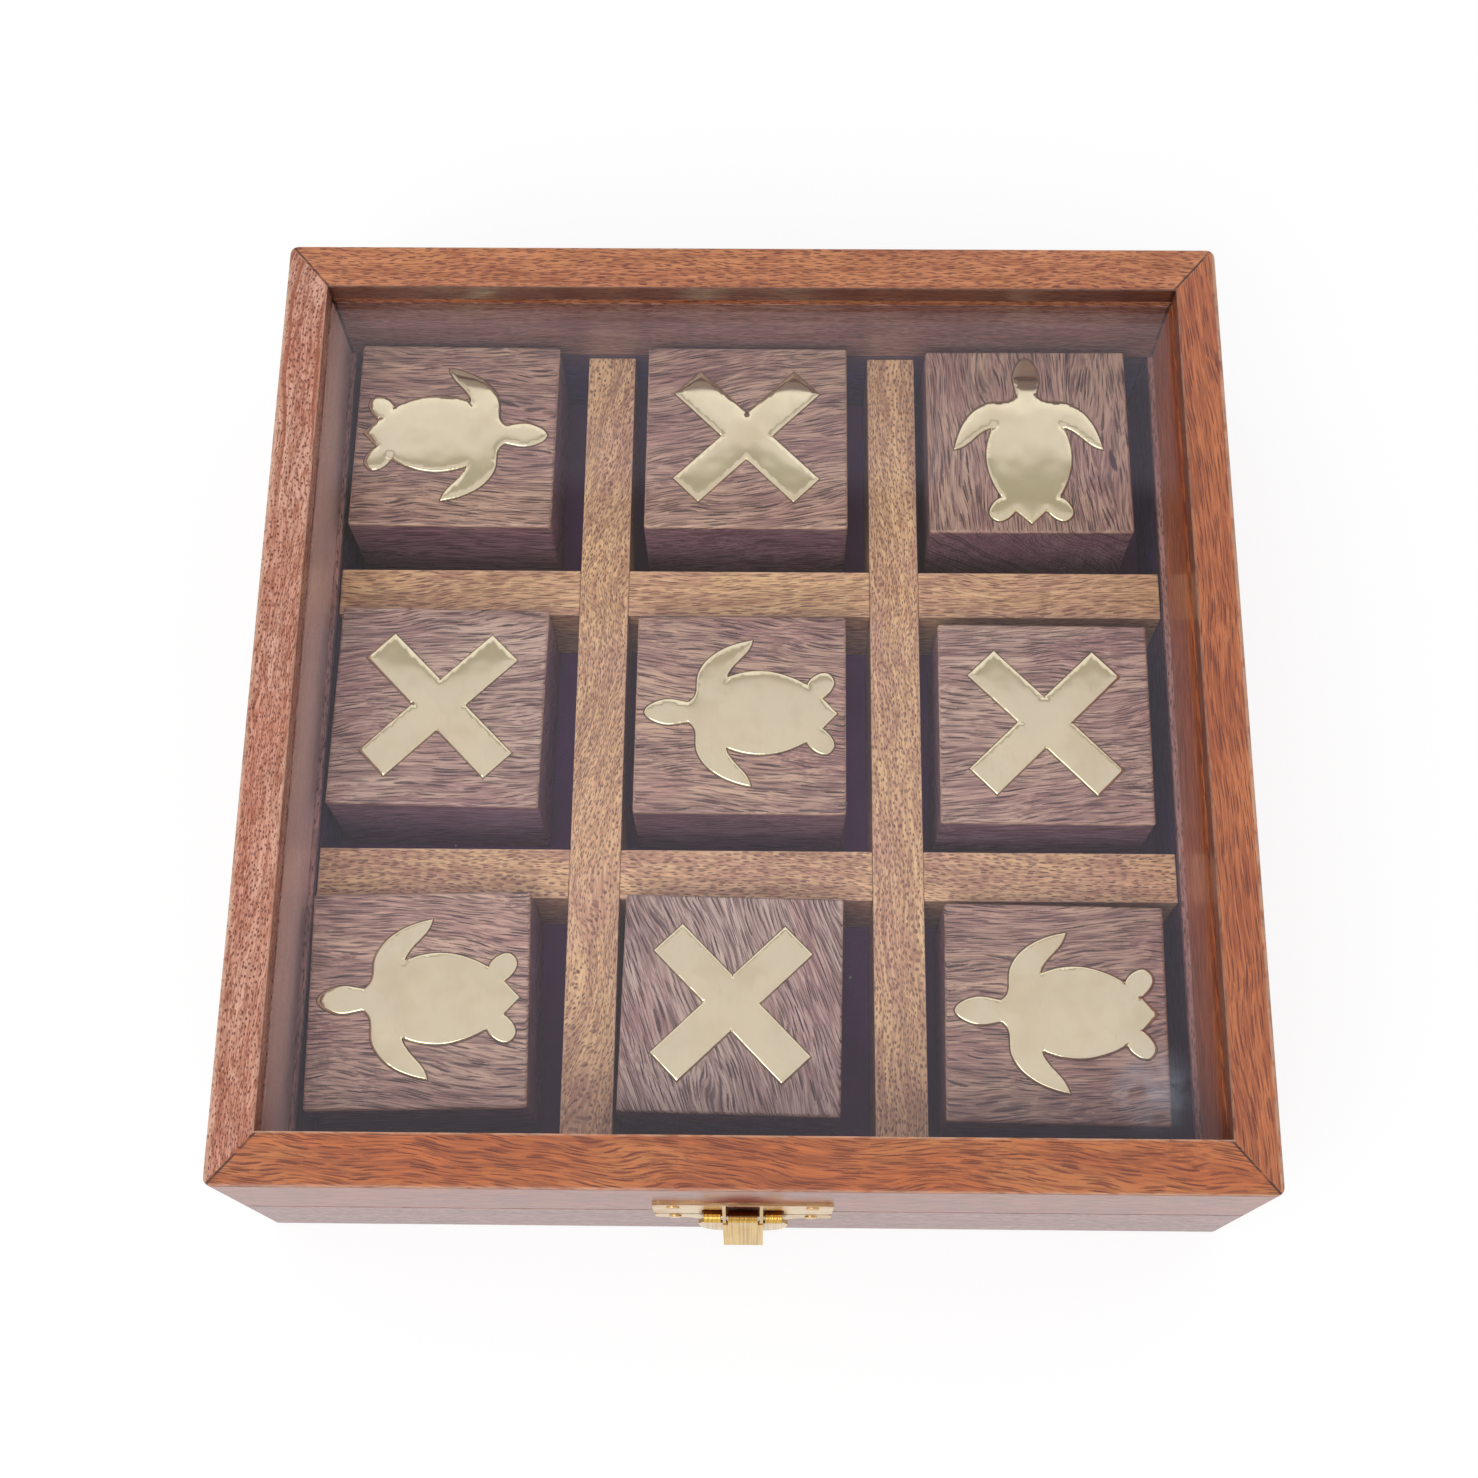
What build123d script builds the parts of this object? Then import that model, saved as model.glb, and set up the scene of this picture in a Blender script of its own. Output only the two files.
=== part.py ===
from build123d import *
import math
import os

# A glass-topped wooden case holding a nine-cell tic-tac-toe game.
# Millimetres. The origin is the centre of the underside, +Z is up,
# the front with the latch faces -Y, and the hinges are at the back.

# Case, outside
case_width = 152.0
case_depth = 153.0
base_height = 22.35
lid_height = 22.35
parting_gap = 0.3
corner_radius = 1.4
edge_ease = 0.5
rim_ease = 0.25

# Walls and rails
base_wall = 7.8
lid_side_rail = 6.7
lid_end_rail = 7.8

# Bottom board and lining
board_thickness = 4.0
board_rebate = 4.0
board_clearance = 0.1
lining_thickness = 0.8
lining_clearance = 0.1

# Slats between the cells
slat_thickness = 8.0
slat_below_rim = 0.65
slat_end_clearance = 0.1
lap_clearance = 0.05

# Glass in the lid
glass_setback = 3.6
glass_thickness = 2.5
groove_depth = 3.0
groove_clearance = 0.1

# Blocks, and how much wider a cell is than its block
block_play = 6.4
block_height = 22.2
block_ease = 0.5
block_clearance = 0.3

# Brass emblems, let into the block tops
emblem_thickness = 1.0
emblem_proud = 0.5
emblem_bevel = 0.15
cross_length = 28.6
cross_bar = 6.2
turtle_margin = 1.3
turtle_slimness = 0.807

# Butt hinges
hinge_length = 25.0
hinge_inset = 30.0
hinge_leaf_thickness = 0.9
hinge_leaf_reach = 5.5
barrel_radius = 1.5
barrel_gap = 0.35
hinge_knuckle = 8.3
hinge_play = 0.3
hinge_pin_radius = 0.7
pin_clearance = 0.05
hinge_pin_overhang = 0.3
screw_spacing = 16.0
screw_setback = 2.9
screw_head_radius = 1.5
screw_head_height = 0.8
screw_radius = 0.7
screw_length = 7.0
screw_slot = 0.35
screw_slot_depth = 0.3

# Latch plates
latch_sheet = 0.5
latch_width = 26.6
lid_plate_height = 9.8
latch_plate_lift = 0.15
base_plate_height = 4.2
base_plate_drop = 9.4
base_plate_neck = 17.0
base_plate_toe = 6.0
plate_corner = 1.2
nail_spacing = 20.5
nail_from_edge = 2.2
nail_head_radius = 0.95
nail_head_height = 0.3
nail_radius = 0.45
nail_length = 6.0

# Latch pivot, cut and bent out of the lid plate
pivot_rise = 2.85
pivot_radius = 0.95
pivot_gap = 0.3
latch_pin_radius = 0.45
ear_gap = 5.0
window_top_strip = 0.9
flap_slot_width = 3.1
flap_slot_top_strip = 5.2
flap_play = 0.3

# Latch flap
flap_sheet = 0.6
flap_gap = 0.7
flap_shoulder_width = 13.4
flap_shoulder_drop = 4.3
flap_length = 13.0
flap_toe_round = 1.4
flap_toe_rise = 0.7
flap_taper = 0.4
tongue_width = 6.0
tongue_neck_drop = 2.15
tongue_rim_drop = 3.2
tongue_fold_drop = 7.1
tongue_fold_out = 2.6
tongue_lip_drop = 14.1
tongue_lip_out = 3.6
tongue_bend = 0.9

# Catch nose on the base plate, under the tongue
nose_width = 3.0
nose_out = 1.5
nose_drop = 4.8
nose_height = 3.2

# Heights that follow
parting = base_height + parting_gap / 2
lid_bottom = base_height + parting_gap
lid_top = lid_bottom + lid_height
floor_top = board_thickness + lining_thickness
slat_top = base_height - slat_below_rim
block_bottom = floor_top + block_clearance
block_top = block_bottom + block_height
glass_bottom = lid_top - glass_setback - glass_thickness

# Plan sizes that follow: three equal cells each way
half_width = case_width / 2
half_depth = case_depth / 2
cavity_width = case_width - 2 * base_wall
cavity_depth = case_depth - 2 * base_wall
cell_width = (cavity_width - 2 * slat_thickness) / 3
cell_depth = (cavity_depth - 2 * slat_thickness) / 3
pitch_x = cell_width + slat_thickness
pitch_y = cell_depth + slat_thickness
block_side = cell_width - block_play
hinge_y = half_depth + barrel_gap + barrel_radius
hinge_x = half_width - hinge_inset

# Where each block lies: cell row and column, emblem, heading of the turtle's
# head in degrees from +X, place in the cell as shares of the free play, and
# the block's own turn in degrees.
BLOCKS = (
    ("back", "left", "turtle", 0, -0.53, 0.76, -0.5),
    ("back", "middle", "cross", 0, -0.21, 0.70, -0.1),
    ("back", "right", "turtle", 90, -0.54, 0.55, 0.25),
    ("middle", "left", "cross", 0, -0.55, 0.75, -0.85),
    ("middle", "middle", "turtle", 180, -0.39, 0.37, -0.2),
    ("middle", "right", "cross", 0, -0.23, -0.07, -0.3),
    ("front", "left", "turtle", 180, -0.71, 0.98, 1.4),
    ("front", "middle", "cross", 0, -0.78, 0.86, -1.1),
    ("front", "right", "turtle", 180, -0.27, 0.48, -0.75),
)

# Half outline of the turtle from nose to tail, as stretches between sharp
# corners. Each point is a share of the half length and of the half span.
TURTLE_HALF = (
    ((1.00, 0.00), (0.98, 0.055), (0.89, 0.135), (0.76, 0.18), (0.64, 0.165), (0.54, 0.14)),
    ((0.54, 0.14), (0.47, 0.26), (0.46, 0.47), (0.39, 0.67), (0.20, 0.87), (-0.12, 1.00)),
    ((-0.12, 1.00), (-0.05, 0.81), (0.06, 0.66), (0.143, 0.48)),
    ((0.143, 0.48), (-0.02, 0.55), (-0.21, 0.575), (-0.43, 0.53), (-0.68, 0.39)),
    ((-0.68, 0.39), (-0.78, 0.53), (-0.89, 0.555), (-0.965, 0.44), (-0.93, 0.305), (-0.845, 0.205)),
    ((-0.845, 0.205), (-1.00, 0.00)),
)


def between(x_low, x_high, y_low, y_high, z_low, z_high):
    """Box between two corners."""
    low = (Align.MIN, Align.MIN, Align.MIN)
    return Pos(x_low, y_low, z_low) * Box(x_high - x_low, y_high - y_low, z_high - z_low, align=low)


def outward(distance):
    """Y of a point that stands this far in front of the case."""
    return -half_depth - distance


def front_sheet(sketch, out, thickness):
    """Sheet parallel to the front, its back this far out from the case."""
    return extrude(Plane.XZ.offset(half_depth + out) * sketch, thickness)


def side_cut(face_points, x_low, x_high):
    """Prism along X of a side view given as (distance out, height) points."""
    corners = [(outward(out), height) for out, height in face_points]
    face = Plane.YZ * make_face(Polyline(*corners, close=True))
    return Pos(x_low, 0, 0) * extrude(face, x_high - x_low)


def rod_x(radius, x_low, x_high, y, z):
    """Round bar along X."""
    length = x_high - x_low
    return Pos((x_low + x_high) / 2, y, z) * Rot(0, 90, 0) * Cylinder(radius, length)


def mirrored(solid):
    """The solid and its mirror image across the middle plane."""
    return solid + mirror(solid, Plane.YZ)


def mitre_cutters(side_rail, end_rail, bottom, height):
    """One block for each rail, split along the lines from outer to inner corner."""
    def corner(side, end, share):
        return (side * (half_width - share * side_rail), end * (half_depth - share * end_rail))

    rails = {"front": ((-1, -1), (1, -1)), "back": ((1, 1), (-1, 1)),
             "left": ((-1, 1), (-1, -1)), "right": ((1, -1), (1, 1))}
    cutters = {}
    for name, (first, second) in rails.items():
        outline = Polyline(corner(*first, -1), corner(*second, -1),
                           corner(*second, 2), corner(*first, 2), close=True)
        cutters[name] = Pos(0, 0, bottom) * extrude(make_face(outline), height)
    return cutters


def rounded_block(bottom, height):
    """The case's outside, with its upright corners rounded."""
    low = (Align.CENTER, Align.CENTER, Align.MIN)
    block = Pos(0, 0, bottom) * Box(case_width, case_depth, height, align=low)
    return fillet(block.edges().filter_by(Axis.Z), corner_radius)


def plan_box(width, depth, bottom, height):
    """Box centred on the case in plan."""
    low = (Align.CENTER, Align.CENTER, Align.MIN)
    return Pos(0, 0, bottom) * Box(width, depth, height, align=low)


def hinge_leaf(x_middle, spans, leaf_bottom):
    """Leaf let into the edge, with a knuckle over each span of the barrel."""
    half = hinge_length / 2
    leaf = between(x_middle - half, x_middle + half, half_depth - hinge_leaf_reach, half_depth,
                   leaf_bottom, leaf_bottom + hinge_leaf_thickness)
    for low, high in spans:
        leaf += between(x_middle + low, x_middle + high, half_depth, hinge_y,
                        leaf_bottom, leaf_bottom + hinge_leaf_thickness)
        leaf += rod_x(barrel_radius, x_middle + low, x_middle + high, hinge_y, parting)
    bore = rod_x(hinge_pin_radius + pin_clearance, x_middle - hinge_length,
                 x_middle + hinge_length, hinge_y, parting)
    return leaf - bore


def hinge_mortise(x_middle, leaf_bottom):
    """Pocket in the edge for one leaf."""
    half = hinge_length / 2
    return between(x_middle - half, x_middle + half, half_depth - hinge_leaf_reach,
                   half_depth + barrel_gap, leaf_bottom, leaf_bottom + hinge_leaf_thickness)


def countersunk_screw():
    """Screw standing head up, its head's flat at height zero."""
    head = Pos(0, 0, -screw_head_height / 2) * Cone(screw_radius, screw_head_radius, screw_head_height)
    shank_length = screw_length - screw_head_height
    shank = Pos(0, 0, -screw_head_height - shank_length / 2) * Cylinder(screw_radius, shank_length)
    return head + shank


def slotted(screw):
    """The same screw with its driver slot."""
    return screw - Box(2 * screw_head_radius, screw_slot, 2 * screw_slot_depth)


def nail(x, z, out):
    """Round-headed nail driven in from the front."""
    shank = Cylinder(nail_radius, nail_length + out, align=(Align.CENTER, Align.CENTER, Align.MIN))
    head = Pos(0, 0, nail_length + out) * Cylinder(
        nail_head_radius, nail_head_height, align=(Align.CENTER, Align.CENTER, Align.MIN))
    head = fillet(head.edges().sort_by(Axis.Z)[-1], nail_head_height * 0.7)
    return Pos(x, -half_depth + nail_length, z) * Rot(90, 0, 0) * (shank + head)


def turtle_face():
    """Outline of the turtle with its head towards +X."""
    half_length = block_side / 2 - turtle_margin
    half_span = half_length * turtle_slimness
    edges = []
    for stretch in TURTLE_HALF:
        upper = [(x * half_length, y * half_span) for x, y in stretch]
        lower = [(x, -y) for x, y in upper]
        edges += [Spline(*upper), Spline(*lower)]
    return make_face(Wire(edges))


def cross_face():
    """Two crossed bars."""
    bar = Rectangle(cross_length, cross_bar)
    return Rot(0, 0, 45) * bar + Rot(0, 0, -45) * bar


def emblem(kind, heading):
    """Brass emblem, its back at height zero and its top edge bevelled."""
    face = cross_face() if kind == "cross" else turtle_face()
    plate = extrude(face, emblem_thickness)
    plate = chamfer(plate.faces().sort_by(Axis.Z)[-1].edges(), emblem_bevel)
    return Rot(0, 0, heading) * plate


nodes = {}

# Base walls, rebated for the board and split at the mitres
base_ring = rounded_block(0, base_height) - plan_box(cavity_width, cavity_depth, 0, base_height)
base_ring = fillet(base_ring.faces().sort_by(Axis.Z)[0].outer_wire().edges(), edge_ease)
base_ring = fillet(base_ring.faces().sort_by(Axis.Z)[-1].outer_wire().edges(), rim_ease)
base_ring -= plan_box(cavity_width + 2 * board_rebate, cavity_depth + 2 * board_rebate, 0, board_thickness)
for side, cutter in mitre_cutters(base_wall, base_wall, 0, base_height).items():
    nodes[f"base_{side}_wall"] = base_ring & cutter

# Bottom board and lining
board_overlap = 2 * (board_rebate - board_clearance)
nodes["bottom_board"] = plan_box(cavity_width + board_overlap, cavity_depth + board_overlap,
                                 0, board_thickness)
nodes["velvet_lining"] = plan_box(cavity_width - 2 * lining_clearance,
                                  cavity_depth - 2 * lining_clearance,
                                  board_thickness, lining_thickness)

# Cross-lapped slats
lap_height = (floor_top + slat_top) / 2
lap_half = slat_thickness / 2 + lap_clearance
long_half = cavity_depth / 2 - slat_end_clearance
cross_half = cavity_width / 2 - slat_end_clearance
for name, x_middle in (("left", -pitch_x / 2), ("right", pitch_x / 2)):
    slat = between(x_middle - slat_thickness / 2, x_middle + slat_thickness / 2,
                   -long_half, long_half, floor_top, slat_top)
    for y_middle in (-pitch_y / 2, pitch_y / 2):
        slat -= between(x_middle - slat_thickness, x_middle + slat_thickness,
                        y_middle - lap_half, y_middle + lap_half, floor_top, lap_height)
    nodes[f"{name}_long_slat"] = slat
for name, y_middle in (("front", -pitch_y / 2), ("back", pitch_y / 2)):
    slat = between(-cross_half, cross_half, y_middle - slat_thickness / 2,
                   y_middle + slat_thickness / 2, floor_top, slat_top)
    for x_middle in (-pitch_x / 2, pitch_x / 2):
        slat -= between(x_middle - lap_half, x_middle + lap_half,
                        y_middle - slat_thickness, y_middle + slat_thickness, lap_height, slat_top)
    nodes[f"{name}_cross_slat"] = slat

# Lid rails, grooved for the glass and split at the mitres
lid_opening_width = case_width - 2 * lid_side_rail
lid_opening_depth = case_depth - 2 * lid_end_rail
lid_ring = rounded_block(lid_bottom, lid_height)
lid_ring -= plan_box(lid_opening_width, lid_opening_depth, lid_bottom, lid_height)
lid_ring = fillet(lid_ring.faces().sort_by(Axis.Z)[-1].outer_wire().edges(), edge_ease)
lid_ring = fillet(lid_ring.faces().sort_by(Axis.Z)[0].outer_wire().edges(), rim_ease)
lid_ring -= plan_box(lid_opening_width + 2 * groove_depth, lid_opening_depth + 2 * groove_depth,
                     glass_bottom - groove_clearance, glass_thickness + 2 * groove_clearance)
for side, cutter in mitre_cutters(lid_side_rail, lid_end_rail, lid_bottom, lid_height).items():
    nodes[f"lid_{side}_rail"] = lid_ring & cutter

# Glass
glass_overlap = 2 * (groove_depth - groove_clearance)
nodes["glass_pane"] = plan_box(lid_opening_width + glass_overlap, lid_opening_depth + glass_overlap,
                               glass_bottom, glass_thickness)

# Hinges at the back, each with two knuckles on the base and one on the lid
centre_half = hinge_knuckle / 2
outer_start = centre_half + hinge_play
barrel_half = hinge_length / 2
base_spans = ((-barrel_half, -outer_start), (outer_start, barrel_half))
lid_spans = ((-centre_half, centre_half),)
base_leaf_bottom = base_height - hinge_leaf_thickness
base_screws = []
lid_screws = []
for name, x_middle in (("left", -hinge_x), ("right", hinge_x)):
    base_leaf = hinge_leaf(x_middle, base_spans, base_leaf_bottom)
    lid_leaf = hinge_leaf(x_middle, lid_spans, lid_bottom)
    nodes["base_back_wall"] -= hinge_mortise(x_middle, base_leaf_bottom)
    nodes["lid_back_rail"] -= hinge_mortise(x_middle, lid_bottom)
    for x in (x_middle - screw_spacing / 2, x_middle + screw_spacing / 2):
        down = Pos(x, half_depth - screw_setback, base_height)
        up = Pos(x, half_depth - screw_setback, lid_bottom) * Rot(180, 0, 0)
        base_leaf -= down * countersunk_screw()
        nodes["base_back_wall"] -= down * countersunk_screw()
        base_screws.append(down * slotted(countersunk_screw()))
        lid_leaf -= up * countersunk_screw()
        nodes["lid_back_rail"] -= up * countersunk_screw()
        lid_screws.append(up * slotted(countersunk_screw()))
    nodes[f"{name}_hinge_base_leaf"] = base_leaf
    nodes[f"{name}_hinge_lid_leaf"] = lid_leaf
    pin_half = barrel_half + hinge_pin_overhang
    nodes[f"{name}_hinge_pin"] = rod_x(hinge_pin_radius, x_middle - pin_half, x_middle + pin_half,
                                       hinge_y, parting)
nodes["hinge_base_screws"] = Compound(base_screws)
nodes["hinge_lid_screws"] = Compound(lid_screws)

# Latch plate on the lid: a window with two ears bent out of it, and a slot
# beside each ear for the flap's knuckle
plate_bottom = lid_bottom + latch_plate_lift
plate_top = plate_bottom + lid_plate_height
pivot_z = lid_bottom + pivot_rise
pivot_out = pivot_gap + pivot_radius
pivot_y = outward(pivot_out)
ear_inside = ear_gap / 2
ear_outside = ear_inside + latch_sheet
slot_outside = ear_outside + flap_slot_width
window_top = plate_top - window_top_strip
slot_top = plate_top - flap_slot_top_strip
plate = Pos(0, (plate_bottom + plate_top) / 2) * RectangleRounded(latch_width, lid_plate_height, plate_corner)
plate -= Pos(0, (plate_bottom + window_top) / 2) * Rectangle(2 * ear_outside, window_top - plate_bottom)
plate -= Pos(0, (plate_bottom + slot_top) / 2) * Rectangle(2 * slot_outside, slot_top - plate_bottom)
lid_plate = front_sheet(plate, 0, latch_sheet)
ear = side_cut(((0, window_top), (latch_sheet, window_top), (pivot_out + pivot_radius, pivot_z),
                (pivot_out - pivot_radius, pivot_z), (0, slot_top)), ear_inside, ear_outside)
ear += rod_x(pivot_radius, ear_inside, ear_outside, pivot_y, pivot_z)
lid_plate += mirrored(ear)
lid_plate -= rod_x(latch_pin_radius + pin_clearance, -slot_outside, slot_outside, pivot_y, pivot_z)
lid_nail_z = plate_top - nail_from_edge
lid_nails = [nail(x, lid_nail_z, latch_sheet) for x in (-nail_spacing / 2, nail_spacing / 2)]
for driven in lid_nails:
    lid_plate -= driven
    nodes["lid_front_rail"] -= driven
nodes["latch_lid_plate"] = lid_plate
nodes["latch_lid_nails"] = Compound(lid_nails)

# Latch pin
knuckle_inside = ear_outside + flap_play
knuckle_outside = slot_outside - flap_play
nodes["latch_pin"] = rod_x(latch_pin_radius, -knuckle_outside, knuckle_outside, pivot_y, pivot_z)

# Latch flap: a tongue rolled round the pin between the ears, and beside it two
# knuckles with the halves of a shield
flap_back = latch_sheet + flap_gap
tongue_half = tongue_width / 2
neck_half = ear_inside - flap_play
roll_out = pivot_out + pivot_radius - flap_sheet / 2
shoulder_z = pivot_z - flap_shoulder_drop
flap_bottom = pivot_z - flap_length
neck_z = pivot_z - tongue_neck_drop
rim_z = pivot_z - tongue_rim_drop
fold_z = pivot_z - tongue_fold_drop
lip_z = pivot_z - tongue_lip_drop
wall_inside = tongue_half - flap_sheet
shoulder_x = flap_shoulder_width / 2
lobe_side = Polyline((wall_inside, flap_bottom), (wall_inside, rim_z), (knuckle_inside, rim_z),
                     (knuckle_inside, pivot_z), (knuckle_outside, pivot_z),
                     (knuckle_outside, (rim_z + pivot_z) / 2), (shoulder_x, shoulder_z))
lobe_curve = Spline((shoulder_x, shoulder_z),
                    (shoulder_x - flap_taper, (shoulder_z + flap_bottom) / 2),
                    (tongue_half + flap_toe_round, flap_bottom + flap_toe_rise),
                    (tongue_half, flap_bottom))
lobe_base = Line((tongue_half, flap_bottom), (wall_inside, flap_bottom))
lobe = front_sheet(make_face([lobe_side, lobe_curve, lobe_base]), flap_back, flap_sheet)
lobe += rod_x(pivot_radius, knuckle_inside, knuckle_outside, pivot_y, pivot_z)
lobe += side_cut(((flap_back, rim_z), (roll_out, rim_z), (tongue_fold_out, fold_z),
                  (tongue_lip_out, flap_bottom), (flap_back, flap_bottom)), wall_inside, tongue_half)
tongue_line = FilletPolyline((outward(roll_out), pivot_z), (outward(roll_out), neck_z),
                             (outward(tongue_fold_out), fold_z),
                             (outward(tongue_lip_out), lip_z), radius=tongue_bend)
tongue_face = Plane.YZ * trace(tongue_line, flap_sheet)
tongue = Pos(-tongue_half, 0, 0) * extrude(tongue_face, tongue_width)
tongue -= mirrored(between(neck_half, tongue_half, outward(roll_out + flap_sheet),
                           outward(roll_out - flap_sheet), neck_z, pivot_z))
tongue += rod_x(pivot_radius, -neck_half, neck_half, pivot_y, pivot_z)
flap = mirrored(lobe) + tongue
flap -= rod_x(latch_pin_radius + pin_clearance, -slot_outside, slot_outside, pivot_y, pivot_z)
nodes["latch_flap"] = flap

# Latch plate on the base, with the nose under the tongue
base_plate_top = base_height - latch_plate_lift
side_bottom = base_plate_top - base_plate_height
toe_bottom = base_plate_top - base_plate_drop
half_plate = latch_width / 2
outline = Polyline((-half_plate, base_plate_top), (-half_plate, side_bottom),
                   (-base_plate_neck / 2, side_bottom), (-base_plate_toe / 2, toe_bottom),
                   (base_plate_toe / 2, toe_bottom), (base_plate_neck / 2, side_bottom),
                   (half_plate, side_bottom), (half_plate, base_plate_top), close=True)
plate = make_face(outline)
plate = fillet(plate.vertices(), plate_corner)
base_plate = front_sheet(plate, 0, latch_sheet)
nose_z = base_plate_top - nose_drop
nose = side_cut(((latch_sheet / 2, nose_z + nose_height / 2), (nose_out, nose_z + nose_height / 8),
                 (nose_out, nose_z - nose_height / 8), (latch_sheet / 2, nose_z - nose_height / 2)),
                -nose_width / 2, nose_width / 2)
base_plate += nose
base_nail_z = base_plate_top - nail_from_edge
base_nails = [nail(x, base_nail_z, latch_sheet) for x in (-nail_spacing / 2, nail_spacing / 2)]
for driven in base_nails:
    base_plate -= driven
    nodes["base_front_wall"] -= driven
nodes["latch_base_plate"] = base_plate
nodes["latch_base_nails"] = Compound(base_nails)

# Blocks and their emblems, each where it lies in its cell
columns = {"left": -pitch_x, "middle": 0, "right": pitch_x}
rows = {"front": -pitch_y, "middle": 0, "back": pitch_y}
low = (Align.CENTER, Align.CENTER, Align.MIN)
for row, column, kind, heading, share_x, share_y, turn in BLOCKS:
    angle = math.radians(abs(turn))
    reach = block_side / 2 * (math.cos(angle) + math.sin(angle)) + block_clearance
    x = columns[column] + share_x * (cell_width / 2 - reach)
    y = rows[row] + share_y * (cell_depth / 2 - reach)
    block = Box(block_side, block_side, block_height, align=low)
    block = fillet(block.edges(), block_ease)
    brass = Pos(0, 0, block_height + emblem_proud - emblem_thickness) * emblem(kind, heading)
    place = Pos(x, y, block_bottom) * Rot(0, 0, turn)
    nodes[f"block_{row}_{column}"] = place * (block - brass)
    nodes[f"{kind}_{row}_{column}"] = place * brass

os.makedirs("parts", exist_ok=True)
for name, solid in nodes.items():
    export_step(solid, f"parts/{name}.step")
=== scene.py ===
"""Looks of a wooden tic-tac-toe game in a glass-topped case: oiled wood, brass inlays, velvet and glass."""
import math

import bmesh
import bpy
from mathutils import Matrix, Vector
from mathutils.geometry import delaunay_2d_cdt


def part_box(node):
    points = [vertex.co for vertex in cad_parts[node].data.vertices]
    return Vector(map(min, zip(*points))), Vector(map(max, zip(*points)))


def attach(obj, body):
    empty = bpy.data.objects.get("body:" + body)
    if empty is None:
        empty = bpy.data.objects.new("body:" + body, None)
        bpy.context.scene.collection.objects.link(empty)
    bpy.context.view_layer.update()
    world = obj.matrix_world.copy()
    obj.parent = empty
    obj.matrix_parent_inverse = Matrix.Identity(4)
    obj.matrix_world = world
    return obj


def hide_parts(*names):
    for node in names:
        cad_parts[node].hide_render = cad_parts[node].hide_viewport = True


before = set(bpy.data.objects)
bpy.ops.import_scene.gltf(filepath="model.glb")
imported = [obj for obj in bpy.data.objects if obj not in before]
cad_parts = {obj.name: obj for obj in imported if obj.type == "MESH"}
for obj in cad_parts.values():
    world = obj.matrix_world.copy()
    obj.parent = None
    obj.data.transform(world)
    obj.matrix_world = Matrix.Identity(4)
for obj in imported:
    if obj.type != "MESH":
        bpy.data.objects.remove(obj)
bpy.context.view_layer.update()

bl_info = {
    "name": "Tic-tac-toe game box",
    "version": (1, 0, 0),
    "blender": (4, 5, 0),
    "location": "3D View > Sidebar > Game Box",
    "description": "Finishes the wood, brass, velvet and glass of a boxed tic-tac-toe game",
    "category": "Object",
}

MM = 0.001
ROWS = ("back", "middle", "front")
COLUMNS = ("left", "middle", "right")

# The camera stands above the front edge and looks steeply down, as a hand-held one does
CAMERA_PLACE = Vector((2.594, -114.278, 341.755)) * MM
CAMERA_PITCH = 70.506
CAMERA_YAW = -2.028
CAMERA_ROLL = -1.513
CAMERA_LENS = 50.84

# How often each layer of the wood repeats in a millimetre, along the fibres, across them and in depth
DRIFT = (0.030, 0.075, 0.075)
RINGS = (0.018, 0.36, 0.24)
PATCHES = (0.05, 0.13, 0.13)
STREAKS = (0.10, 1.1, 1.1)
GROWTH = (0.010, 0.10, 0.07)
RAGGED = (2.0, 5.0, 5.0)

# Tints over the wood: none, on the case below the rim, and a painted dark reflection of the latch on the lid
# rail above it
PLAIN = (1.0, 1.0, 1.0)
LOWER_INSIDE = (0.6, 0.95, 3.2)
LATCH_REFLECTION = (0.72, 0.45, 0.31)

# Width of the band over which a face of a rail or wall is told from the next, and of a sanded edge
FACE_BAND = 0.3 * MM
INNER_BAND = 0.4 * MM
SANDED = 0.15 * MM
SANDED_SLAT = 0.2 * MM

# Section of the painted shadow line round an emblem, outwards from the emblem's edge and up from the wood, in
# millimetres
SHADOW_LINE_SECTION = ((-0.06, 0.012), (0.13, 0.012), (0.13, -0.10), (-0.06, -0.10))

# Middle of the painted reflection of the latch on the rail above it, and place of the faint smear on the
# glass
LATCH_REFLECTION_MIDDLE = Vector((0.0, 0.0, 31.0)) * MM
SMEAR = Vector((59.0, -61.0, 41.0)) * MM


# Settings that a user would change

def colour(name, description, default):
    """A colour setting."""
    return bpy.props.FloatVectorProperty(
        name=name, description=description, subtype="COLOR", size=3, min=0.0, max=1.0, default=default)


def amount(name, description, default, high=1.0):
    """A plain number from zero up to high."""
    return bpy.props.FloatProperty(name=name, description=description, min=0.0, max=high, default=default)


def size(name, description, default):
    """A length in metres."""
    return bpy.props.FloatProperty(
        name=name, description=description, subtype="DISTANCE", unit="LENGTH", min=0.0, default=default)


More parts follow.
